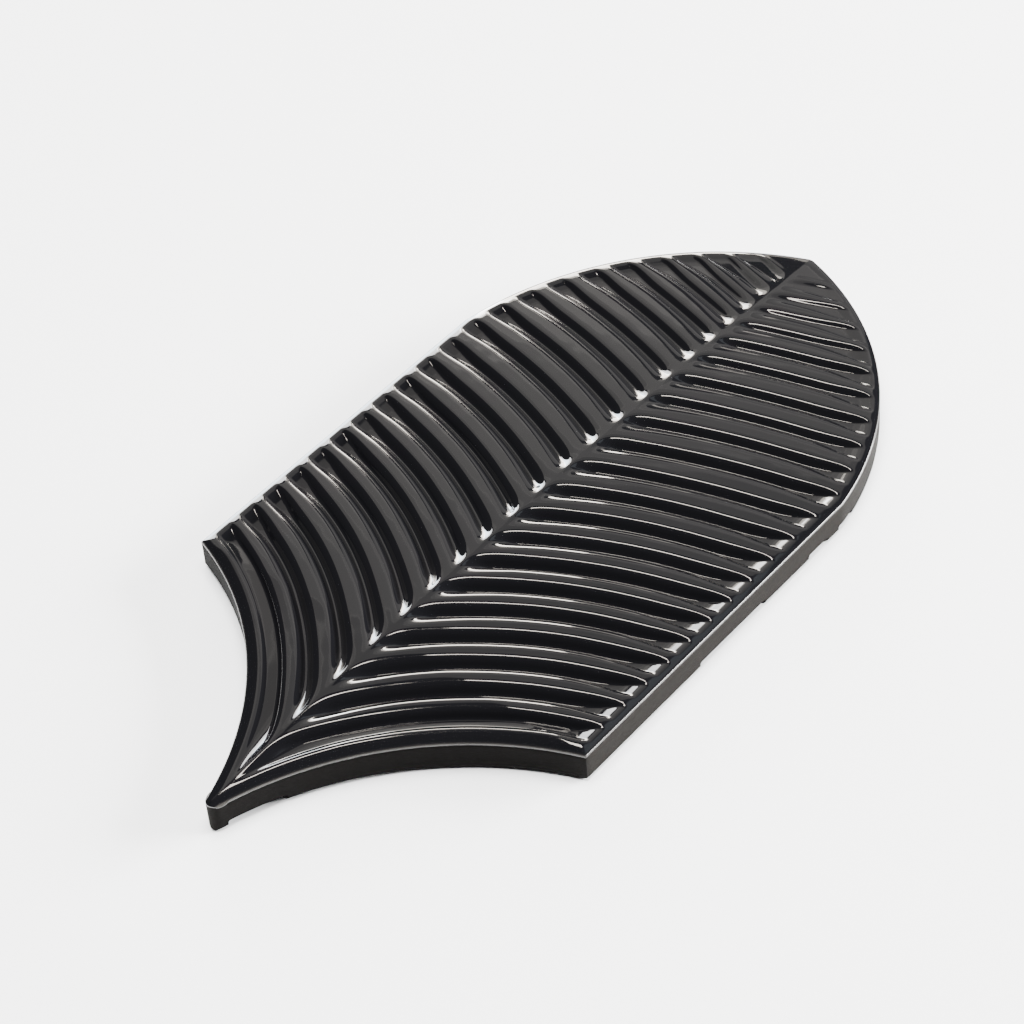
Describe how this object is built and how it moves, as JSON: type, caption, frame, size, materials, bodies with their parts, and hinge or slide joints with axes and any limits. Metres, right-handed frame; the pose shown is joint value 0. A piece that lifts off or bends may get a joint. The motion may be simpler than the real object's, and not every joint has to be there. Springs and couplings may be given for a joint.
{
  "type": "leaf wall tile",
  "caption": "Leaf-shaped glazed ceramic wall tile with a raised midrib, curved fluted veins, a round nose and a hollow tail that nests with its neighbours.",
  "frame": {"origin": "middle of the tile's box on the plane of its back", "axes": "+Y along the midrib from the tail to the tip, +Z out of the glazed face"},
  "size_m": [0.12, 0.235, 0.0132],
  "materials": {
    "fired_clay": "matt, smoke-stained",
    "black_glaze": "gloss"
  },
  "bodies": {
    "root": {"ceramic_body": "fired_clay", "glaze_coat": "black_glaze"}
  },
  "joints": []
}
